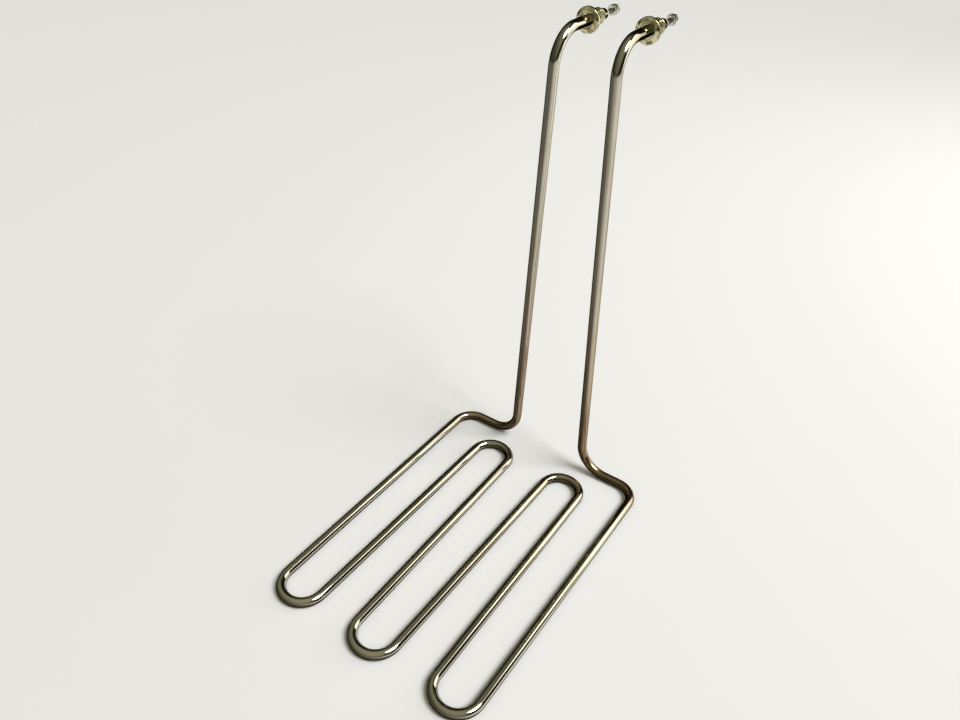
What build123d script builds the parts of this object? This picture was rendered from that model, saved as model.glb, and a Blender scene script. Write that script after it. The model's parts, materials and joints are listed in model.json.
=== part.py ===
from build123d import *
import math
import os

# Tubular heating element: one sheathed tube bent into a flat serpentine base, with two
# upright risers that lean towards each other and end in short level tails. Each tail
# carries a flanged, threaded fitting, an insulated end seal and a screw terminal.
#
# Millimetres. X runs across the legs and X = 0 is the middle plane. +Y runs from the
# front hairpins towards the terminals and +Z is up. Z = 0 is the underside of the base,
# and the origin is the middle of the overall footprint.

# --- Sheath tube -------------------------------------------------------------------
sheath_diameter = 8.0
sheath_wall = 0.7

# --- Serpentine base, on the tube's axis ---------------------------------------------
base_width = 196.0  # over the outermost legs
front_bend_radius = 18.6  # three hairpins at the front
rear_bend_radius = 17.2  # two hairpins at the rear
hairpin_span = 239.0  # front hairpin tips to rear hairpin tips
cross_run_gap = 23.0  # rear hairpin tips to the cross runs behind them
cross_run_bend_radius = 18.0  # outer leg into cross run

# --- Risers and tails, on the tube's axis --------------------------------------------
riser_height = 373.0  # base plane to tail axis
riser_foot_x = 36.2  # middle plane to a riser, at the base plane
riser_head_x = 23.3  # middle plane to a riser, at the tail axis
riser_foot_bend_radius = 26.0
riser_head_bend_radius = 23.0

# --- Flanged fitting, brazed on the tail ---------------------------------------------
tail_to_flange = 39.5  # riser plane to the flange's front face
flange_diameter = 18.6
flange_thickness = 4.5
flange_face_diameter = 13.4  # flat front face, inside the cone
flange_cone_length = 2.0  # cone from the front face out to the flange's rim
flange_edge_radius = 0.8
braze_groove_width = 1.4  # sunk ring of the front face, next to the sheath
braze_groove_depth = 0.5
barrel_diameter = 12.0
barrel_length = 14.5
barrel_end_chamfer = 0.9
undercut_width = 1.5  # thread run-out against the flange
undercut_depth = 0.8
braze_clearance = 0.05

# --- Insulated end of the sheath -----------------------------------------------------
sheath_past_barrel = 7.5
bush_head_diameter = 7.4
bush_head_length = 1.8
bush_head_chamfer = 0.5
bush_spigot_length = 4.0
seal_length = 5.0
core_clearance = 0.05  # packed and seated pieces inside the sheath

# --- Heating core --------------------------------------------------------------------
coil_diameter = 3.6
cold_pin_diameter = 3.0
cold_length = 150.0  # cold pin's reach down the riser, below the tail axis

# --- Screw terminal ------------------------------------------------------------------
pin_neck_length = 8.7  # bare pin between bush and stud
stud_diameter = 4.0
stud_run_in = 1.5  # stud before the lock nut
stud_tip_length = 2.6  # stud past the terminal nut
stud_chamfer = 0.5
nut_across_flats = 7.0
nut_thickness = 2.4
nut_chamfer = 0.35
washer_diameter = 8.0
washer_thickness = 0.6
spring_washer_diameter = 7.2
spring_washer_thickness = 0.9
spring_washer_slit = 0.9
thread_clearance = 0.03  # nut on stud, radial
washer_clearance = 0.15  # washer on stud, radial

# --- Worked out from the above -------------------------------------------------------
sheath_radius = sheath_diameter / 2
outer_leg_x = base_width / 2 - sheath_radius
bore_radius = sheath_radius - sheath_wall
base_z = sheath_radius
tail_z = base_z + riser_height
core_radius = bore_radius - core_clearance
pin_radius = cold_pin_diameter / 2
pin_hole_radius = pin_radius + core_clearance

# Stations along a tail, from the riser plane.
flange_back = tail_to_flange + flange_thickness
barrel_end = flange_back + barrel_length
sheath_end = barrel_end + sheath_past_barrel
seal_back = sheath_end - bush_spigot_length
seal_front = seal_back - seal_length
bush_back = sheath_end + bush_head_length
stud_start = bush_back + pin_neck_length
lock_nut_front = stud_start + stud_run_in
inner_washer_front = lock_nut_front + nut_thickness
outer_washer_front = inner_washer_front + washer_thickness
spring_washer_front = outer_washer_front + washer_thickness
terminal_nut_front = spring_washer_front + spring_washer_thickness
stud_end = terminal_nut_front + nut_thickness + stud_tip_length

# Places along Y, from the middle of the overall depth.
overall_depth = sheath_radius + hairpin_span + cross_run_gap + stud_end
front_tip_y = sheath_radius - overall_depth / 2
front_centre_y = front_tip_y + front_bend_radius
rear_centre_y = front_tip_y + hairpin_span - rear_bend_radius
riser_y = front_tip_y + hairpin_span + cross_run_gap

# Centres of the hairpins across X.
front_outer_x = outer_leg_x - front_bend_radius
rear_hairpin_x = front_outer_x / 2


# Corners of the left side's route.
leg_foot = Vector(-outer_leg_x, front_centre_y, base_z)
leg_corner = Vector(-outer_leg_x, riser_y, base_z)
riser_foot = Vector(-riser_foot_x, riser_y, base_z)
riser_head = Vector(-riser_head_x, riser_y, tail_z)
splice = riser_head + (riser_foot - riser_head).normalized() * cold_length


def tail_point(station):
    """Point on the left tail's axis at a distance behind the riser plane."""
    return riser_head + Vector(0, station, 0)


def serpentine():
    """Axis of the base's left half, from the outer leg's foot to the middle plane."""
    front = Vector(-front_outer_x, front_centre_y, base_z)
    rear = Vector(-rear_hairpin_x, rear_centre_y, base_z)
    middle = Vector(0, front_centre_y, base_z)
    # The legs between hairpins are their inner common tangents, so they lean a little.
    across = rear - front
    spread = math.degrees(math.acos((front_bend_radius + rear_bend_radius) / across.length))
    lean = math.degrees(math.atan2(across.Y, across.X)) - spread
    turn = 180 + lean
    outer_bend = CenterArc(front, front_bend_radius, 180, turn)
    rear_bend = CenterArc(rear, rear_bend_radius, turn, 180 - 2 * turn)
    middle_bend = CenterArc(middle, front_bend_radius, 180 - lean, 90 + lean)
    first_leg = Line(outer_bend @ 1, rear_bend @ 0)
    second_leg = Line(rear_bend @ 1, middle_bend @ 0)
    return [outer_bend, first_leg, rear_bend, second_leg, middle_bend]


def through_route(corners, radii):
    """Axis from end to end: the left side's corners, the base, and the mirror image."""
    side = FilletPolyline(*corners, radius=radii)
    left_edges = side.edges() + [edge for curve in serpentine() for edge in curve.edges()]
    right_edges = [edge.mirror(Plane.YZ) for edge in left_edges]
    return Wire(left_edges + right_edges)


def full_route(station):
    """Axis of the tube from tail to tail, ending at a station on each tail."""
    corners = [leg_foot, leg_corner, riser_foot, riser_head, tail_point(station)]
    bends = [cross_run_bend_radius, riser_foot_bend_radius, riser_head_bend_radius]
    return through_route(corners, bends)


def hot_route():
    """Axis of the heated length, from splice to splice."""
    corners = [leg_foot, leg_corner, riser_foot, splice]
    return through_route(corners, [cross_run_bend_radius, riser_foot_bend_radius])


def cold_route(station):
    """Axis of the left cold pin, from the splice to a station on the tail."""
    corners = [splice, riser_head, tail_point(station)]
    return FilletPolyline(*corners, radius=riser_head_bend_radius)


def rod(route, radius):
    """Round bar of one radius along a route."""
    section = Plane(origin=route @ 0, z_dir=route % 0) * Circle(radius)
    return sweep(section, path=route)


def turned(profile, station):
    """Solid turned about the left tail's axis from (radius, length) corners."""
    outline = make_face(Polyline(*profile, close=True))
    return revolve(Pos(tail_point(station)) * outline, axis=Axis(riser_head, (0, 1, 0)))


def on_tail(shape, station):
    """Shape drawn along +Z, laid along the left tail from a station."""
    seat = Plane(origin=tail_point(station), x_dir=(1, 0, 0), z_dir=(0, 1, 0))
    return seat * shape


def sheath():
    """One bent tube, open at both tails."""
    route = full_route(sheath_end)
    return rod(route, sheath_radius) - rod(route, bore_radius)


def resistance_coil():
    """Outer form of the wound resistance wire."""
    return rod(hot_route(), coil_diameter / 2)


def magnesia_fill():
    """Packed insulating powder, with the channel that the coil and pins lie in."""
    fill = rod(full_route(seal_front), core_radius)
    pin_channel = rod(cold_route(seal_front), pin_hole_radius)
    coil_channel = rod(hot_route(), coil_diameter / 2 + core_clearance)
    return fill - coil_channel - pin_channel - mirror(pin_channel, about=Plane.YZ)


def cold_pin():
    """Solid lead from the coil's end to the screw stud outside the sheath."""
    lead = rod(cold_route(stud_start), pin_radius)
    radius = stud_diameter / 2
    tip = radius - stud_chamfer
    length = stud_end - stud_start
    shank = length - stud_chamfer
    profile = [
        (0, 0),
        (tip, 0),
        (radius, stud_chamfer),
        (radius, shank),
        (tip, length),
        (0, length),
    ]
    return lead + turned(profile, stud_start)


def end_seal():
    """Soft plug that closes the powder off from the air."""
    return on_tail(extrude(Circle(core_radius) - Circle(pin_hole_radius), seal_length), seal_front)


def insulator_bush():
    """Ceramic bush: a spigot in the sheath and a head against its end."""
    head_radius = bush_head_diameter / 2
    length = bush_spigot_length + bush_head_length
    profile = [
        (pin_hole_radius, 0),
        (core_radius, 0),
        (core_radius, bush_spigot_length),
        (head_radius, bush_spigot_length),
        (head_radius, length - bush_head_chamfer),
        (head_radius - bush_head_chamfer, length),
        (pin_hole_radius, length),
    ]
    return turned(profile, seal_back)


def fitting():
    """Flange and threaded barrel in one turned piece, bored for the sheath."""
    bore = sheath_radius + braze_clearance
    flange = flange_diameter / 2
    groove = bore + braze_groove_width
    barrel = barrel_diameter / 2
    undercut = barrel - undercut_depth
    length = flange_thickness + barrel_length
    profile = [
        (bore, braze_groove_depth),
        (groove, braze_groove_depth),
        (groove, 0),
        (flange_face_diameter / 2, 0),
        (flange, flange_cone_length),
        (flange, flange_thickness),
        (undercut, flange_thickness),
        (undercut, flange_thickness + undercut_width),
        (barrel, flange_thickness + undercut_width),
        (barrel, length - barrel_end_chamfer),
        (barrel - barrel_end_chamfer, length),
        (bore, length),
    ]
    body = turned(profile, tail_to_flange)
    circles = body.edges().filter_by(GeomType.CIRCLE)
    rim_edges = circles.sort_by(lambda edge: edge.radius)[-2:]
    return fillet(rim_edges, flange_edge_radius)


def nut(station):
    """Hex nut on the stud, chamfered on both faces."""
    across_corners = nut_across_flats / math.cos(math.pi / 6)
    blank = extrude(RegularPolygon(across_corners / 2, 6), nut_thickness)
    corner = across_corners / 2
    limit = [
        (0, 0),
        (corner - nut_chamfer, 0),
        (corner, nut_chamfer),
        (corner, nut_thickness - nut_chamfer),
        (corner - nut_chamfer, nut_thickness),
        (0, nut_thickness),
    ]
    hole = Cylinder(stud_diameter / 2 + thread_clearance, 3 * nut_thickness)
    return (on_tail(blank, station) & turned(limit, station)) - on_tail(hole, station)


def washer(station):
    """Plain flat washer on the stud."""
    hole = Circle(stud_diameter / 2 + washer_clearance)
    return on_tail(extrude(Circle(washer_diameter / 2) - hole, washer_thickness), station)


def spring_washer():
    """Split washer, pressed flat between the nut and the plain washer."""
    outer = spring_washer_diameter / 2
    ring = Circle(outer) - Circle(stud_diameter / 2 + washer_clearance)
    slit = Pos(outer / 2, 0) * Rectangle(outer, spring_washer_slit)
    return on_tail(extrude(ring - slit, spring_washer_thickness), spring_washer_front)


def save(shape, node):
    export_step(shape, f"parts/{node}.step")


def save_pair(shape, name):
    """A left piece and its mirror image on the right tail."""
    save(shape, f"{name}_left")
    save(mirror(shape, about=Plane.YZ), f"{name}_right")


os.makedirs("parts", exist_ok=True)
save(sheath(), "sheath")
save(resistance_coil(), "resistance_coil")
save(magnesia_fill(), "magnesia_fill")
save_pair(cold_pin(), "cold_pin")
save_pair(end_seal(), "end_seal")
save_pair(insulator_bush(), "insulator_bush")
save_pair(fitting(), "fitting")
save_pair(nut(lock_nut_front), "lock_nut")
save_pair(washer(inner_washer_front), "inner_washer")
save_pair(washer(outer_washer_front), "outer_washer")
save_pair(spring_washer(), "spring_washer")
save_pair(nut(terminal_nut_front), "terminal_nut")
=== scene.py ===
import json
import math

import bmesh
import bpy
import numpy as np
from mathutils import Matrix, Vector


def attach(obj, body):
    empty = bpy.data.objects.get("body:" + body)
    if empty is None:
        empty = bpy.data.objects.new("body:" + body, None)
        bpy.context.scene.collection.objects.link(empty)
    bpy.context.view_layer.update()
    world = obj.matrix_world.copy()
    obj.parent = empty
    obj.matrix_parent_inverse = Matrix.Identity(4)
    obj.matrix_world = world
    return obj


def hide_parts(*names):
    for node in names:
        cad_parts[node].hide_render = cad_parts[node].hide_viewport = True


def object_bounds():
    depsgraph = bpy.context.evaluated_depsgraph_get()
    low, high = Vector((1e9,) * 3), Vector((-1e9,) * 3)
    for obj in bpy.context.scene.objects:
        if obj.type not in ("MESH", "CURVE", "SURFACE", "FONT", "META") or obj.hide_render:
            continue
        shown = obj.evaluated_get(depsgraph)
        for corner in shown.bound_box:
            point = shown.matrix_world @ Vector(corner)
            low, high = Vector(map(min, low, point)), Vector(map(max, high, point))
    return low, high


# A tubular heating element: a bright steel sheath bent into a serpentine base with two
# risers, flanged threaded fittings on the tails, and screw terminals on thin pins.
# Named lengths are millimetres; meshes, lamp places and node scales are in metres.

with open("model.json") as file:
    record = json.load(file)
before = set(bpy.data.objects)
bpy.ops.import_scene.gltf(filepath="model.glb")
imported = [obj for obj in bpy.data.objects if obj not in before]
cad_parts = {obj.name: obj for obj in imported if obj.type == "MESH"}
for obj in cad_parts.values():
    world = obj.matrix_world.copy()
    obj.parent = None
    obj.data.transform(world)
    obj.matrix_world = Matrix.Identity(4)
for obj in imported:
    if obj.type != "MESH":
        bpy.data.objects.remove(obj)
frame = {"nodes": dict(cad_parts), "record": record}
cad_low, cad_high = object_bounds()

MM = 0.001
NO_LENGTH = 1e-6
NO_BEND = 1e-9

# --- Camera, with its angles in radians -----------------------------------------------
CAMERA_X = 245.11
CAMERA_Z = 509.71
CAMERA_BEFORE_BASE = 207.95  # in front of the front hairpins
CAMERA_AZIMUTH = 0.6013
CAMERA_ELEVATION = 0.6484
CAMERA_ROLL = 0.0238
FOCAL_PIXELS = 761.8
IMAGE_WIDTH = 960
SENSOR_WIDTH = 36.0
NEAREST_SEEN = 0.01  # metres

# --- The tube's run -----------------------------------------------------------------
SHEATH_RADIUS = 4.0
BORE_RADIUS = 3.3
BASE_WIDTH = 196.0
FRONT_BEND = 18.6
REAR_BEND = 17.2
HAIRPIN_SPAN = 239.0
CROSS_RUN_GAP = 23.0
CROSS_RUN_BEND = 18.0
RISER_HEIGHT = 373.0
RISER_FOOT_X = 36.2
RISER_HEAD_X = 23.3
FOOT_BEND = 26.0
HEAD_BEND = 23.0
SHEATH_END = 66.0
COLD_LENGTH = 150.0
PIN_RADIUS = 1.5

# --- Fitting and stud, as stations behind the riser plane ------------------------------
FLANGE_FRONT = 39.5
FLANGE_RIM = 41.5
FLANGE_BACK = 44.0
BARREL_END = 58.5
FLANGE_RADIUS = 9.3
FACE_RADIUS = 6.7
FLANGE_EDGE = 0.8
FACE_EDGE = 0.5
GROOVE_WIDTH = 1.4
GROOVE_DEPTH = 0.5
GROOVE_FLOOR_EDGE = 0.25
GROOVE_LIP_WIDTH = 0.15
GROOVE_LIP_DEPTH = 0.2
FITTING_BORE = 4.05
BARREL_RADIUS = 6.0
BARREL_PITCH = 1.0
BARREL_THREAD = 0.3
UNDERCUT_WIDTH = 1.5
UNDERCUT_DEPTH = 0.8
UNDERCUT_SLOPE = 0.2
BARREL_CHAMFER = 0.9
END_EDGE = 0.1
STUD_START = 76.5
STUD_END = 87.5
STUD_RADIUS = 2.0
STUD_PITCH = 0.7
STUD_THREAD = 0.36
STUD_CHAMFER = 0.5

# --- Mesh detail --------------------------------------------------------------------
RING_STEP = math.radians(4)
RUN_STEP = 12.0
SHEATH_SEGMENTS = 40
FITTING_SEGMENTS = 72
PIN_SEGMENTS = 32
SHEATH_SMOOTH = math.radians(50)
TURNED_SMOOTH = math.radians(38)
OUTSIDE_FLAT = 0.03  # share of the radius lost on the outside of the tightest bend
FLAT_BLEND = 4.0  # length over which that flattening fades in
THREAD_SLOPE = 1.9
THREAD_CREST = 0.85
THREAD_RUN_OUT = 0.6  # share of a pitch
BARREL_STEPS = 10  # rings in a turn of thread
STUD_STEPS = 9  # the same on the stud
FACE_STEPS = 3  # along the fillet of the flange's face
FLANGE_STEPS = 5  # along the fillets of its rim
POINT_RADIUS = 0.02  # closes the stud's end

# --- Painted shade and heat tint on the sheath ----------------------------------------
SHADED_SIDE = np.array((-0.56, -0.83, 0.0))  # the side of the tube with the most painted shade
SIDE_SHADE_UNDER = 0.4  # how much that side's painted shade adds to the painted shade underneath
UPRIGHT_CLEAR = 1.2  # how free the upright runs are of the painted shade underneath
TINT_LIFT = 10.0  # height above the base's axis where the tint starts to fade
TINT_DEPTH = 34.0  # how far in front of the risers the tint begins
TINT_FOOT = 95.0
TINT_RISER = 250.0
TINT_FOOT_SHARE = 0.7
TINT_LEFT_SHARE = 0.8
TINT_BLEND = 12.0

# --- Places worked out from the sizes -------------------------------------------------
FRONT_TIP_Y = -cad_high.y / MM  # the part's depth is centred on its origin
BASE_Z = SHEATH_RADIUS
TAIL_Z = BASE_Z + RISER_HEIGHT
LEG_X = BASE_WIDTH / 2 - SHEATH_RADIUS
# The hairpin span is measured between tips of the tube's axis.
AXIS_TIP_Y = FRONT_TIP_Y + SHEATH_RADIUS
RISER_Y = AXIS_TIP_Y + HAIRPIN_SPAN + CROSS_RUN_GAP


# --- Path of the tube -----------------------------------------------------------------
class Path:
    """Stations along a route of straight runs and arcs."""

    def __init__(self, start):
        self.points = [Vector(start)]
        self.tangents = []
        self.curves = []

    def add(self, point, tangent, curve):
        self.points.append(point)
        self.tangents.append(tangent)
        self.curves.append(curve)

    def run_to(self, end):
        start = self.points[-1]
        along = end - start
        if along.length < NO_LENGTH:
            return
        count = max(1, round(along.length / RUN_STEP))
        for i in range(1, count + 1):
            self.add(start + along * i / count, along.normalized(), Vector())

    def arc(self, centre, axis, angle):
        start = self.points[-1] - centre
        count = max(1, math.ceil(angle / RING_STEP))
        for i in range(1, count + 1):
            arm = Matrix.Rotation(angle * i / count, 3, axis) @ start
            self.add(centre + arm, axis.cross(arm).normalized(), -arm / arm.length_squared)

    def corner(self, corner, after, radius):
        """A straight run up to a corner, and the arc that rounds it."""
        into = (corner - self.points[-1]).normalized()
        out = (after - corner).normalized()
        turn = into.angle(out)
        self.run_to(corner - into * radius * math.tan(turn / 2))
        axis = into.cross(out).normalized()
        self.arc(self.points[-1] + axis.cross(into) * radius, axis, turn)


def left_corners():
    """Riser head, riser foot, cross-run corner and the front end of the outer leg."""
    head = Vector((-RISER_HEAD_X, RISER_Y, TAIL_Z))
    foot = Vector((-RISER_FOOT_X, RISER_Y, BASE_Z))
    corner = Vector((-LEG_X, RISER_Y, BASE_Z))
    leg = Vector((-LEG_X, AXIS_TIP_Y + FRONT_BEND, BASE_Z))
    return head, foot, corner, leg


def half_route():
    """From the left tail's end to the front of the middle hairpin."""
    head, foot, corner, leg = left_corners()
    path = Path(head + Vector((0, SHEATH_END, 0)))
    path.corner(head, foot, HEAD_BEND)
    path.corner(foot, corner, FOOT_BEND)
    path.corner(corner, leg, CROSS_RUN_BEND)
    path.run_to(leg)
    front_y = AXIS_TIP_Y + FRONT_BEND
    rear_y = AXIS_TIP_Y + HAIRPIN_SPAN - REAR_BEND
    outer_x = LEG_X - FRONT_BEND
    front = Vector((-outer_x, front_y, BASE_Z))
    rear = Vector((-outer_x / 2, rear_y, BASE_Z))
    middle = Vector((0, front_y, BASE_Z))
    across = rear - front
    spread = math.acos((FRONT_BEND + REAR_BEND) / across.length)
    lean = math.atan2(across.y, across.x) - spread
    up = Vector((0, 0, 1))
    path.arc(front, up, math.pi + lean)
    off = Vector((math.cos(lean), math.sin(lean), 0))
    path.run_to(rear - off * REAR_BEND)
    path.arc(rear, -up, math.pi + 2 * lean)
    off = Vector((-math.cos(lean), math.sin(lean), 0))
    path.run_to(middle + off * FRONT_BEND)
    path.arc(middle, up, math.pi / 2 + lean)
    return path


def whole_route():
    """Points, tangents and curvature vectors from tail to tail, as arrays."""
    half = half_route()
    points = np.array(half.points)
    tangents = np.array([half.tangents[0]] + half.tangents)
    curves = np.array([half.curves[0]] + half.curves)
    mirror = np.array((-1, 1, 1))
    points = np.vstack((points, (points * mirror)[-2::-1]))
    tangents = np.vstack((tangents, (tangents * -mirror)[-2::-1]))
    curves = np.vstack((curves, (curves * mirror)[-2::-1]))
    return points, tangents, curves


def frames(tangents, first):
    """A pair of unit normals at each station that doesn't twist along the route."""
    normal = np.array(first, float)
    pairs = []
    for tangent in tangents:
        normal = normal - tangent * normal.dot(tangent)
        normal = normal / np.linalg.norm(normal)
        pairs.append((normal, np.cross(tangent, normal)))
    return np.array(pairs)


def lengths_along(points):
    steps = np.linalg.norm(np.diff(points, axis=0), axis=1)
    return np.concatenate(([0.0], np.cumsum(steps)))


def smoothed(values, along, reach):
    """Values averaged over a distance along the route."""
    weight = np.exp(-(((along[:, None] - along[None, :]) / reach) ** 2))
    step = np.gradient(along)
    weight = weight * step[None, :]
    return (weight @ values) / weight.sum(axis=1, keepdims=True)


# --- Meshes -----------------------------------------------------------------------------
def new_piece(name, points, faces, sharp_angle):
    """A mesh object in metres from millimetre points, smooth up to an angle."""
    mesh = bpy.data.meshes.new(name)
    mesh.from_pydata((np.asarray(points) * MM).tolist(), [], faces)
    work = bmesh.new()
    work.from_mesh(mesh)
    bmesh.ops.recalc_face_normals(work, faces=work.faces)
    work.to_mesh(mesh)
    work.free()
    for polygon in mesh.polygons:
        polygon.use_smooth = True
    mesh.set_sharp_from_angle(angle=sharp_angle)
    piece = bpy.data.objects.new(name, mesh)
    bpy.context.scene.collection.objects.link(piece)
    return piece


def skin(rows, segments, closed_rows):
    """Quads between neighbouring rings of the same size."""
    faces = []
    last = rows if closed_rows else rows - 1
    for i in range(last):
        a = i * segments
        b = ((i + 1) % rows) * segments
        for j in range(segments):
            k = (j + 1) % segments
            faces.append((a + j, a + k, b + k, b + j))
    return faces


def ring_angles(segments):
    return np.arange(segments) * 2 * math.pi / segments


def ring_arms(tangents, segments):
    """Unit vectors from the axis to each point of the ring at each station."""
    pairs = frames(tangents, (1, 0, 0))
    angles = ring_angles(segments)[None, :, None]
    return np.cos(angles) * pairs[:, None, 0, :] + np.sin(angles) * pairs[:, None, 1, :]


def add_attribute(piece, name, kind, values):
    """A value or vector at each vertex, for the materials to read."""
    layer = piece.data.attributes.new(name, kind, "POINT")
    key = "vector" if kind == "FLOAT_VECTOR" else "value"
    layer.data.foreach_set(key, np.asarray(values, np.float32).ravel())


def tint_at(points):
    """Heat tint: strongest on the risers' feet and the cross runs, more on the right."""
    height = np.maximum(points[:, 2] - BASE_Z - TINT_LIFT, 0)
    behind = np.clip((points[:, 1] - (RISER_Y - TINT_DEPTH)) / TINT_DEPTH, 0, 1)
    foot = TINT_FOOT_SHARE * np.exp(-((height / TINT_FOOT) ** 2))
    riser = (1 - TINT_FOOT_SHARE) * np.exp(-((height / TINT_RISER) ** 2))
    side = np.where(points[:, 0] > 0, 1.0, TINT_LEFT_SHARE)
    return behind * (foot + riser) * side


def sheath_piece():
    """Bent tube with both skins, and the coordinates its finish follows."""
    points, tangents, curves = whole_route()
    along = lengths_along(points)
    bend = smoothed(curves, along, FLAT_BLEND)
    strength = np.linalg.norm(bend, axis=1) * REAR_BEND
    inward = bend / np.maximum(np.linalg.norm(bend, axis=1, keepdims=True), NO_BEND)
    arms = ring_arms(tangents, SHEATH_SEGMENTS)
    facing = (arms * inward[:, None, :]).sum(axis=2)
    outside = np.clip(-facing, 0, 1) ** 2 * np.clip(strength, 0, 1)[:, None]
    radius = SHEATH_RADIUS * (1 - OUTSIDE_FLAT * outside)
    outer = points[:, None, :] + arms * radius[:, :, None]
    inner = points[:, None, :] + arms * BORE_RADIUS
    rings = np.concatenate((outer, inner[::-1]))
    faces = skin(len(rings), SHEATH_SEGMENTS, True)
    piece = new_piece("sheath_tube", rings.reshape(-1, 3), faces, SHEATH_SMOOTH)

    def both(values):
        """Values for the outer skin's rings and then for the inner skin's."""
        return np.concatenate((values, values[::-1]))

    angles = ring_angles(SHEATH_SEGMENTS)[None, :]
    unrolled = (np.cos(angles) * SHEATH_RADIUS, np.sin(angles) * SHEATH_RADIUS, along[:, None])
    place = np.stack([np.broadcast_to(values, radius.shape) for values in unrolled], axis=2)
    add_attribute(piece, "tube", "FLOAT_VECTOR", both(place) * MM)
    tint = smoothed(tint_at(points)[:, None], along, TINT_BLEND)
    add_attribute(piece, "tint", "FLOAT", both(np.broadcast_to(tint, radius.shape)))
    # Painted shade: the sheath's colour is darkest on its front-left side.
    film_and_painted_shade = arms @ SHADED_SIDE
    add_attribute(piece, "film_and_painted_shade", "FLOAT", both(film_and_painted_shade))
    # Painted shade: darker towards the underside, less on the upright runs.
    under = SIDE_SHADE_UNDER * film_and_painted_shade - arms[:, :, 2] - UPRIGHT_CLEAR * np.abs(tangents[:, 2:3])
    add_attribute(piece, "under", "FLOAT", both(under))
    return piece


def thread_depth(station, angles, pitch, depth, start, end):
    """How far a thread's groove lies below its crest, fading out at both ends."""
    phase = ((station - start) / pitch - angles / (2 * math.pi)) % 1.0
    groove = np.clip(THREAD_SLOPE * (1 - np.abs(2 * phase - 1)) - THREAD_CREST, 0, 1)
    run_out = THREAD_RUN_OUT * pitch
    fade = np.clip((station - start) / run_out, 0, 1) * np.clip((end - station) / run_out, 0, 1)
    return depth * groove * fade


def turned_points(profile, centre, segments, pitch, depth, start, end):
    """Rings about a tail's axis from (station, radius) pairs, threaded from start to end."""
    angles = ring_angles(segments)
    rings = []
    for station, radius in profile:
        rim = np.full(segments, radius, float)
        if start <= station <= end:
            rim -= thread_depth(station, angles, pitch, depth, start, end)
        x = centre.x + rim * np.cos(angles)
        y = np.full(segments, centre.y + station)
        z = centre.z + rim * np.sin(angles)
        rings.append(np.stack((x, y, z), axis=1))
    return np.concatenate(rings)


def rounded(before, corner, after, radius, count):
    """Points of the fillet that rounds a profile's corner."""
    p, c, n = (np.array(v, float) for v in (before, corner, after))
    u = (c - p) / np.linalg.norm(c - p)
    w = (n - c) / np.linalg.norm(n - c)
    turn = math.acos(np.clip(u.dot(w), -1, 1))
    reach = radius * math.tan(turn / 2)
    start = c - u * reach
    end = c + w * reach
    shares = [i / count for i in range(count + 1)]
    return [tuple((1 - t) ** 2 * start + 2 * t * (1 - t) * c + t**2 * end) for t in shares]


def spaced(start, end, radius, step):
    """Evenly spaced stations of one radius."""
    count = max(1, round((end - start) / step))
    return [(start + (end - start) * i / count, radius) for i in range(count + 1)]


def tail_centre(side):
    return Vector((side * RISER_HEAD_X, RISER_Y, TAIL_Z))


def fitting_profile(thread_start, thread_end):
    """Half section of the fitting as (station, radius) pairs, round from its bore."""
    face = (FLANGE_FRONT, FACE_RADIUS)
    rim = (FLANGE_RIM, FLANGE_RADIUS)
    back = (FLANGE_BACK, FLANGE_RADIUS)
    root = BARREL_RADIUS - UNDERCUT_DEPTH
    end_radius = BARREL_RADIUS - BARREL_CHAMFER
    groove_rim = FITTING_BORE + GROOVE_WIDTH
    profile = [
        (FLANGE_FRONT + GROOVE_DEPTH, FITTING_BORE),
        (FLANGE_FRONT + GROOVE_DEPTH, groove_rim - GROOVE_FLOOR_EDGE),
        (FLANGE_FRONT + GROOVE_LIP_DEPTH, groove_rim),
        (FLANGE_FRONT, groove_rim + GROOVE_LIP_WIDTH),
    ]
    profile += rounded((FLANGE_FRONT, FITTING_BORE), face, rim, FACE_EDGE, FACE_STEPS)
    profile += rounded(face, rim, back, FLANGE_EDGE, FLANGE_STEPS)
    profile += rounded(rim, back, (FLANGE_BACK, root), FLANGE_EDGE, FLANGE_STEPS)
    profile += [(FLANGE_BACK, root), (thread_start - UNDERCUT_SLOPE, root)]
    profile += spaced(thread_start, thread_end, BARREL_RADIUS, BARREL_PITCH / BARREL_STEPS)
    profile += [
        (BARREL_END - END_EDGE, end_radius + END_EDGE / 2),
        (BARREL_END, end_radius - END_EDGE),
        (BARREL_END, FITTING_BORE),
    ]
    return profile


def fitting_piece(side, label):
    """Flange and threaded barrel, turned from one bar."""
    cut = (FLANGE_BACK + UNDERCUT_WIDTH, BARREL_END - BARREL_CHAMFER)
    profile = fitting_profile(*cut)
    points = turned_points(
        profile, tail_centre(side), FITTING_SEGMENTS, BARREL_PITCH, BARREL_THREAD, *cut
    )
    faces = skin(len(profile), FITTING_SEGMENTS, True)
    piece = new_piece(f"fitting_turned_{label}", points, faces, TURNED_SMOOTH)
    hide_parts(f"fitting_{label}")
    return piece


def cold_route():
    """Left pin's axis from the stud back round the riser's head to the splice."""
    head, foot, _, _ = left_corners()
    path = Path(head + Vector((0, STUD_START, 0)))
    splice = head + (foot - head).normalized() * COLD_LENGTH
    path.corner(head, splice, HEAD_BEND)
    path.run_to(splice)
    return path


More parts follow.
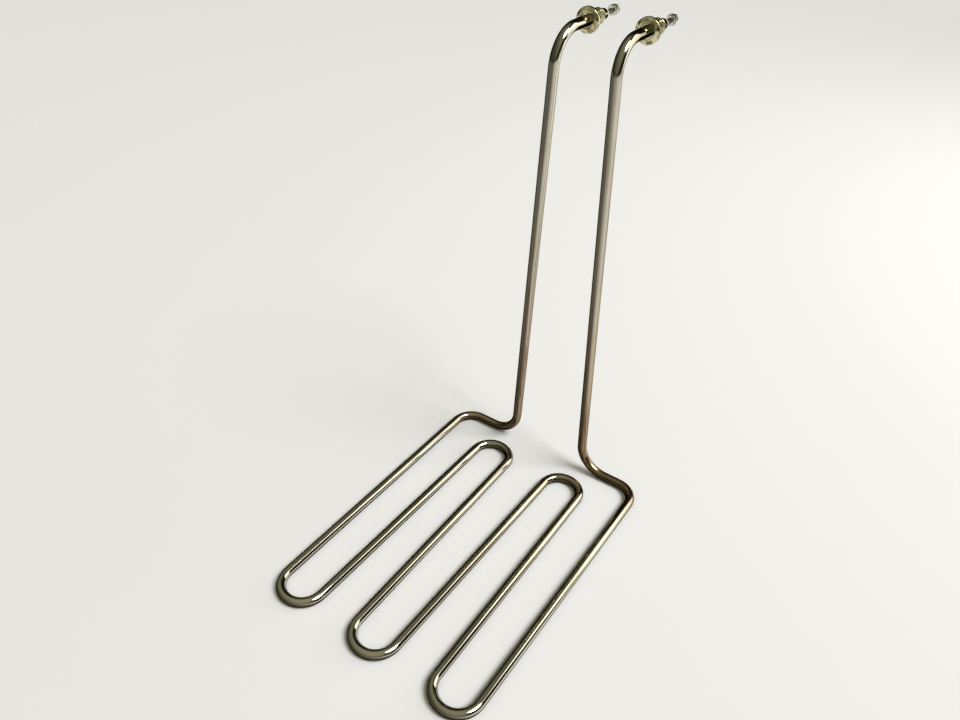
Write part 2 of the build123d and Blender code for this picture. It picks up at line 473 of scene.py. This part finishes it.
def pin_piece(side, label):
    """Plain lead and threaded stud, one piece."""
    path = cold_route()
    mirror = np.array((side * -1.0, 1, 1))
    points = np.array(path.points)
    tangents = np.array([path.tangents[0]] + path.tangents)
    arms = ring_arms(tangents, PIN_SEGMENTS)
    lead = (points[:, None, :] + arms * PIN_RADIUS)[::-1].reshape(-1, 3)
    cut = (STUD_START + STUD_CHAMFER, STUD_END - STUD_CHAMFER)
    profile = [(STUD_START, STUD_RADIUS - STUD_CHAMFER)]
    profile += spaced(*cut, STUD_RADIUS, STUD_PITCH / STUD_STEPS)
    profile += [(STUD_END, STUD_RADIUS - STUD_CHAMFER), (STUD_END, POINT_RADIUS)]
    stud = turned_points(profile, tail_centre(-1), PIN_SEGMENTS, STUD_PITCH, STUD_THREAD, *cut)
    # The rings of the lead and of the stud start at the same angle about the tail.
    rings = np.concatenate((lead, stud)) * mirror
    last_row = len(rings) - PIN_SEGMENTS
    faces = skin(len(rings) // PIN_SEGMENTS, PIN_SEGMENTS, False)
    faces.append(tuple(range(PIN_SEGMENTS)))
    faces.append(tuple(last_row + j for j in range(PIN_SEGMENTS)))
    piece = new_piece(f"cold_pin_turned_{label}", rings, faces, TURNED_SMOOTH)
    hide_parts(f"cold_pin_{label}")
    return piece


# --- Materials ------------------------------------------------------------------------
# Noise repeats per metre on each axis; on the sheath the third axis runs along the tube.
DRAW_LINE_REPEATS = (1900, 1900, 9)
STREAK_REPEATS = (330, 330, 3.5)
SHEATH_FILM_REPEATS = (120, 120, 26)
SHEATH_SPECK_REPEATS = (900, 900, 900)
TURNED_RING_REPEATS = (60, 5200, 60)
TURNED_FILM_REPEATS = (260, 260, 260)
TURNED_SPECK_REPEATS = (1500, 1500, 1500)
PRESSED_GRAIN_REPEATS = (700, 700, 4200)
PRESSED_FILM_REPEATS = (420, 420, 420)
UNSCALED = (1, 1, 1)
GRAINS_PER_STAIN = 14

# Spans: the least and the most of a result, and the source values that give them.
NOISE_RANGE = (0.3, 0.7)
OLIVE_SPREAD = (0.0, 0.5, 0.45, 0.75)
SIDE_SHADE_BREAKS = (-0.22, 0.22, *NOISE_RANGE)
SIDE_SHADE_SPREAD = (0.0, 0.9, 0.1, 0.75)
UNDER_SPREAD = (0.0, 0.94, -0.45, -0.2)
TINT_PATCHES = (0.6, 1.0, *NOISE_RANGE)
SHEATH_ROUGHNESS = (0.06, 0.10, *NOISE_RANGE)
SHEATH_PITS = (0.0, 0.05, 0.62, 0.8)
TINT_ROUGHNESS = 0.16
TURNED_FILM = (0.0, 0.9, 0.42, 0.68)
TURNED_SPECKS = (0.0, 0.35, 0.6, 0.75)
TURNED_FILM_ROUGHNESS = (0.0, 0.08, 0.5, 0.8)
PRESSED_FILM = (0.0, 0.8, 0.45, 0.7)
CLAY_STAINS = (0.0, 0.7, 0.42, 0.75)
CLAY_GRAINS = (0.0, 0.5, 0.52, 0.75)

STEEL_TONES = [(0.30, (0.48, 0.45, 0.36)), (0.5, (0.64, 0.61, 0.51)), (0.72, (0.76, 0.73, 0.64))]
STEEL_EDGE = (0.06, 0.055, 0.04)
OLIVE_FILM = (0.42, 0.39, 0.26)
# Painted shade: the sheath's colour on its shaded front-left side.
SIDE_SHADE_COLOUR = (0.07, 0.064, 0.042)
# Painted shade: the sheath's colour on its underside.
UNDER_SHADE_COLOUR = (0.06, 0.055, 0.035)
HEAT_TINTS = [
    (0.0, (1.0, 1.0, 1.0)),
    (0.3, (0.94, 0.83, 0.76)),
    (0.7, (0.70, 0.54, 0.44)),
    (1.0, (0.58, 0.40, 0.27)),
]
PLATING_EDGE = (0.7, 0.68, 0.6)


class Nodes:
    """A material's node tree with its shader, built by short calls."""

    def __init__(self, name, colour, metallic, roughness):
        self.material = bpy.data.materials.new(name)
        self.material.use_nodes = True
        self.tree = self.material.node_tree
        self.shader = self.tree.nodes["Principled BSDF"]
        self.shader.inputs["Base Color"].default_value = (*colour, 1)
        self.shader.inputs["Metallic"].default_value = metallic
        self.shader.inputs["Roughness"].default_value = roughness

    def set_tint(self, colour):
        self.shader.inputs["Specular Tint"].default_value = (*colour, 1)

    def node(self, kind, **settings):
        made = self.tree.nodes.new(kind)
        for key, value in settings.items():
            setattr(made, key, value)
        return made

    def link(self, source, target):
        self.tree.links.new(source, target)

    def place(self, scale, attribute=None):
        """Coordinates scaled per axis, from an attribute or the object's own space."""
        if attribute:
            source = self.node("ShaderNodeAttribute", attribute_name=attribute).outputs["Vector"]
        else:
            source = self.node("ShaderNodeTexCoord").outputs["Object"]
        mapping = self.node("ShaderNodeMapping")
        mapping.inputs["Scale"].default_value = scale
        self.link(source, mapping.inputs["Vector"])
        return mapping.outputs["Vector"]

    def noise(self, place, detail, scale=1.0):
        made = self.node("ShaderNodeTexNoise")
        made.inputs["Scale"].default_value = scale
        made.inputs["Detail"].default_value = detail
        self.link(place, made.inputs["Vector"])
        return made.outputs["Fac"]

    def ramp(self, source, stops):
        made = self.node("ShaderNodeValToRGB")
        ramp = made.color_ramp
        while len(ramp.elements) < len(stops):
            ramp.elements.new(0.5)
        for element, (position, colour) in zip(ramp.elements, stops):
            element.position = position
            element.color = (*colour, 1)
        self.link(source, made.inputs["Fac"])
        return made.outputs["Color"]

    def span(self, source, low, high, from_low, from_high):
        """The source's range from from_low to from_high, spread over low to high."""
        made = self.node("ShaderNodeMapRange")
        made.inputs["From Min"].default_value = from_low
        made.inputs["From Max"].default_value = from_high
        made.inputs["To Min"].default_value = low
        made.inputs["To Max"].default_value = high
        self.link(source, made.inputs["Value"])
        return made.outputs["Result"]

    def around(self, source, middle, below, above):
        """A value about the middle, as a noise swings through its usual range."""
        return self.span(source, middle - below, middle + above, *NOISE_RANGE)

    def math(self, operation, first, second):
        made = self.node("ShaderNodeMath", operation=operation)
        for socket, value in zip(made.inputs, (first, second)):
            if isinstance(value, (int, float)):
                socket.default_value = value
            else:
                self.link(value, socket)
        return made.outputs["Value"]

    def mix(self, factor, first, second, blend="MIX"):
        made = self.node("ShaderNodeMix", data_type="RGBA", blend_type=blend)
        sockets = (made.inputs[0], made.inputs[6], made.inputs[7])
        for socket, value in zip(sockets, (factor, first, second)):
            if isinstance(value, (int, float)):
                socket.default_value = value
            elif isinstance(value, tuple):
                socket.default_value = (*value, 1)
            else:
                self.link(value, socket)
        return made.outputs[2]

    def value(self, attribute):
        return self.node("ShaderNodeAttribute", attribute_name=attribute).outputs["Fac"]

    def bump(self, height, strength, distance):
        made = self.node("ShaderNodeBump")
        made.inputs["Strength"].default_value = strength
        made.inputs["Distance"].default_value = distance
        self.link(height, made.inputs["Height"])
        self.link(made.outputs["Normal"], self.shader.inputs["Normal"])

    def finish(self, colour, roughness):
        self.link(colour, self.shader.inputs["Base Color"])
        self.link(roughness, self.shader.inputs["Roughness"])
        return self.material


def sheath_material():
    """Bright drawn steel: lengthwise draw lines, filmed patches, heat tint, and painted shade on its
    front-left side and underside.
    """
    n = Nodes("sheath_steel", (0.5, 0.48, 0.42), metallic=1.0, roughness=0.2)
    n.set_tint(STEEL_EDGE)
    lines = n.noise(n.place(DRAW_LINE_REPEATS, "tube"), detail=2.0)
    streaks = n.noise(n.place(STREAK_REPEATS, "tube"), detail=3.0)
    film_and_painted_shade = n.noise(n.place(SHEATH_FILM_REPEATS, "tube"), detail=4.0)
    specks = n.noise(n.place(SHEATH_SPECK_REPEATS, "tube"), detail=2.0)
    steel = n.ramp(streaks, STEEL_TONES)
    olive = n.mix(n.span(film_and_painted_shade, *OLIVE_SPREAD), steel, OLIVE_FILM)
    # Painted shade on the tube's front-left side, its edge broken by the streaks.
    side_shade_mask = n.math("ADD", n.value("film_and_painted_shade"), n.span(streaks, *SIDE_SHADE_BREAKS))
    shaded = n.mix(n.span(side_shade_mask, *SIDE_SHADE_SPREAD), olive, SIDE_SHADE_COLOUR)
    # Painted shade on the tube's underside.
    lower = n.mix(n.span(n.value("under"), *UNDER_SPREAD), shaded, UNDER_SHADE_COLOUR)
    warm = n.math("MULTIPLY", n.value("tint"), n.span(film_and_painted_shade, *TINT_PATCHES))
    colour = n.mix(1.0, lower, n.ramp(warm, HEAT_TINTS), "MULTIPLY")
    pits = n.span(specks, *SHEATH_PITS)
    drawn = n.span(lines, *SHEATH_ROUGHNESS)
    rough = n.math("ADD", drawn, n.math("MULTIPLY", warm, TINT_ROUGHNESS))
    rough = n.math("ADD", rough, pits)
    n.bump(lines, strength=0.04, distance=0.00001)
    return n.finish(colour, rough)


def turned_metal(name, colour, dark, roughness):
    """Plated metal turned about the tails' axis: fine rings and darker filmed patches."""
    n = Nodes(name, colour, metallic=1.0, roughness=roughness)
    n.set_tint(PLATING_EDGE)
    rings = n.noise(n.place(TURNED_RING_REPEATS), detail=2.0)
    film_and_painted_shade = n.noise(n.place(TURNED_FILM_REPEATS), detail=4.0)
    specks = n.noise(n.place(TURNED_SPECK_REPEATS), detail=2.0)
    tone = n.mix(n.span(film_and_painted_shade, *TURNED_FILM), colour, dark)
    fine = n.mix(n.span(specks, *TURNED_SPECKS), tone, dark)
    turned = n.around(rings, roughness, below=0.06, above=0.08)
    rough = n.math("ADD", turned, n.span(film_and_painted_shade, *TURNED_FILM_ROUGHNESS))
    n.bump(rings, strength=0.3, distance=0.00003)
    return n.finish(fine, rough)


def pressed_metal(name, colour, dark, roughness):
    """Small pressed or cut metal pieces: fine level grain and dulled patches."""
    n = Nodes(name, colour, metallic=1.0, roughness=roughness)
    grain = n.noise(n.place(PRESSED_GRAIN_REPEATS), detail=2.0)
    film_and_painted_shade = n.noise(n.place(PRESSED_FILM_REPEATS), detail=3.0)
    tone = n.mix(n.span(film_and_painted_shade, *PRESSED_FILM), colour, dark)
    rough = n.around(grain, roughness, below=0.07, above=0.1)
    n.bump(grain, strength=0.25, distance=0.00003)
    return n.finish(tone, rough)


def fired_clay(name, colour, dark, roughness, grain_scale, relief):
    """Ceramic, packed powder or set compound: fine grain with faint stains."""
    n = Nodes(name, colour, metallic=0.0, roughness=roughness)
    grain = n.noise(n.place(UNSCALED), detail=5.0, scale=grain_scale)
    stain = n.noise(n.place(UNSCALED), detail=3.0, scale=grain_scale / GRAINS_PER_STAIN)
    tone = n.mix(n.span(stain, *CLAY_STAINS), colour, dark)
    fine = n.mix(n.span(grain, *CLAY_GRAINS), tone, dark)
    rough = n.around(grain, roughness, below=0.06, above=0.08)
    n.bump(grain, strength=0.4, distance=relief)
    return n.finish(fine, rough)


MATERIALS = {
    "sheath": sheath_material(),
    "heating_wire": pressed_metal(
        "wire_oxidised", (0.36, 0.33, 0.28), (0.16, 0.14, 0.11), roughness=0.45
    ),
    "magnesia": fired_clay(
        "magnesia_powder",
        (0.86, 0.85, 0.80),
        (0.62, 0.60, 0.54),
        roughness=0.9,
        grain_scale=2600,
        relief=0.00005,
    ),
    "stud": turned_metal("stud_steel", (0.26, 0.24, 0.19), (0.07, 0.06, 0.04), roughness=0.3),
    "seal": fired_clay(
        "seal_compound",
        (0.62, 0.22, 0.14),
        (0.40, 0.12, 0.08),
        roughness=0.6,
        grain_scale=1200,
        relief=0.00003,
    ),
    "ceramic": fired_clay(
        "bush_steatite",
        (0.78, 0.76, 0.68),
        (0.52, 0.48, 0.38),
        roughness=0.5,
        grain_scale=2200,
        relief=0.00003,
    ),
    "fitting": turned_metal(
        "fitting_plated_brass", (0.70, 0.64, 0.42), (0.12, 0.10, 0.03), roughness=0.14
    ),
    "terminal_nut": pressed_metal(
        "nut_plated", (0.80, 0.78, 0.73), (0.24, 0.23, 0.19), roughness=0.18
    ),
    "terminal_washer": pressed_metal(
        "washer_plated", (0.72, 0.70, 0.65), (0.18, 0.17, 0.13), roughness=0.22
    ),
    "spring_steel": pressed_metal(
        "spring_steel", (0.30, 0.29, 0.26), (0.10, 0.09, 0.08), roughness=0.34
    ),
}


def dress(piece, slot_name):
    """The slot's material as the piece's only one."""
    piece.data.materials.clear()
    piece.data.materials.append(MATERIALS[slot_name])


# --- Camera, light and floor ------------------------------------------------------------
FLOOR_SIZE = 14
FLOOR_COLOUR = (0.83, 0.83, 0.85)
LAMP_AIM = (0, 0, 0.06)
OVERHEAD_PLACE = (1.1, 0.2, 1.66)
OVERHEAD_STRENGTH = 2.6
OVERHEAD_COLOUR = (1.0, 0.995, 0.99)
OVERHEAD_SPREAD = math.radians(30)
SOFTBOX_PLACE = (0.92, 1.05, 0.77)
SOFTBOX_WATTS = 8.0
SOFTBOX_COLOUR = (1.0, 0.97, 0.87)
SOFTBOX_SIZE = (0.9, 1.45)
STUDIO_BRIGHT_SIDE = (-0.20, -0.60, 0.77)
STUDIO_TONES = (
    (0.22, (0.012, 0.012, 0.008)),
    (0.62, (0.27, 0.265, 0.18)),
    (1.0, (0.42, 0.41, 0.31)),
)


def add_camera():
    """Camera along the photograph's line of sight."""
    az, el, roll = CAMERA_AZIMUTH, CAMERA_ELEVATION, CAMERA_ROLL
    back = Vector((math.sin(az) * math.cos(el), -math.cos(az) * math.cos(el), math.sin(el)))
    level_right = Vector((math.cos(az), math.sin(az), 0))
    level_up = back.cross(level_right)
    right = math.cos(roll) * level_right + math.sin(roll) * level_up
    up = math.cos(roll) * level_up - math.sin(roll) * level_right
    data = bpy.data.cameras.new("camera")
    data.sensor_width = SENSOR_WIDTH
    data.lens = FOCAL_PIXELS * SENSOR_WIDTH / IMAGE_WIDTH
    data.clip_start = NEAREST_SEEN
    camera = bpy.data.objects.new("camera", data)
    bpy.context.scene.collection.objects.link(camera)
    at = Vector((CAMERA_X, FRONT_TIP_Y - CAMERA_BEFORE_BASE, CAMERA_Z)) * MM
    camera.matrix_world = Matrix.Translation(at) @ Matrix((right, up, back)).transposed().to_4x4()
    bpy.context.scene.camera = camera


def add_lamp(name, kind, place, energy, colour, size=None, spread=None):
    """A lamp that points at the base, in watts or, for a sun, watts per square metre."""
    data = bpy.data.lights.new(name, kind)
    data.energy = energy
    data.color = colour
    if size:
        data.shape = "RECTANGLE"
        data.size, data.size_y = size
    if spread:
        data.angle = spread
    lamp = bpy.data.objects.new(name, data)
    bpy.context.scene.collection.objects.link(lamp)
    lamp.location = place
    aim = Vector(LAMP_AIM) - Vector(place)
    lamp.rotation_euler = aim.to_track_quat("-Z", "Y").to_euler()


def add_world():
    """Dim olive studio: lighter above the front and dark towards the back."""
    world = bpy.data.worlds.new("studio")
    bpy.context.scene.world = world
    world.use_nodes = True
    tree = world.node_tree
    background = tree.nodes["Background"]
    place = tree.nodes.new("ShaderNodeTexCoord")
    toward = tree.nodes.new("ShaderNodeVectorMath")
    toward.operation = "DOT_PRODUCT"
    toward.inputs[1].default_value = STUDIO_BRIGHT_SIDE
    tree.links.new(place.outputs["Generated"], toward.inputs[0])
    ramp = tree.nodes.new("ShaderNodeValToRGB")
    ramp.color_ramp.elements.new(0.5)
    for element, (position, colour) in zip(ramp.color_ramp.elements, STUDIO_TONES):
        element.position = position
        element.color = (*colour, 1)
    tree.links.new(toward.outputs["Value"], ramp.inputs["Fac"])
    tree.links.new(ramp.outputs["Color"], background.inputs["Color"])


def add_floor():
    """Plain pale paper under the part."""
    bpy.ops.mesh.primitive_plane_add(size=FLOOR_SIZE, location=(0, 0, 0))
    floor = bpy.context.object
    floor.name = "floor"
    n = Nodes("floor_paper", FLOOR_COLOUR, metallic=0.0, roughness=0.95)
    n.shader.inputs["Specular IOR Level"].default_value = 0.0
    floor.data.materials.append(n.material)


# --- Build -------------------------------------------------------------------------------
tube = sheath_piece()
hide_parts("sheath")
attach(tube, "root")
dress(tube, "sheath")
for side, label in ((-1, "left"), (1, "right")):
    for piece, slot_name in ((fitting_piece(side, label), "fitting"), (pin_piece(side, label), "stud")):
        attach(piece, "root")
        dress(piece, slot_name)

replaced = {"sheath", "fitting_left", "fitting_right", "cold_pin_left", "cold_pin_right"}
for subpart in frame["record"]["subparts"]:
    if subpart["node"] not in replaced:
        dress(frame["nodes"][subpart["node"]], subpart["material_slot"])

add_camera()
add_world()
add_floor()
bpy.context.scene.view_settings.view_transform = "Standard"
add_lamp(
    "overhead", "SUN", OVERHEAD_PLACE, OVERHEAD_STRENGTH, OVERHEAD_COLOUR, spread=OVERHEAD_SPREAD
)
add_lamp("softbox", "AREA", SOFTBOX_PLACE, SOFTBOX_WATTS, SOFTBOX_COLOUR, size=SOFTBOX_SIZE)
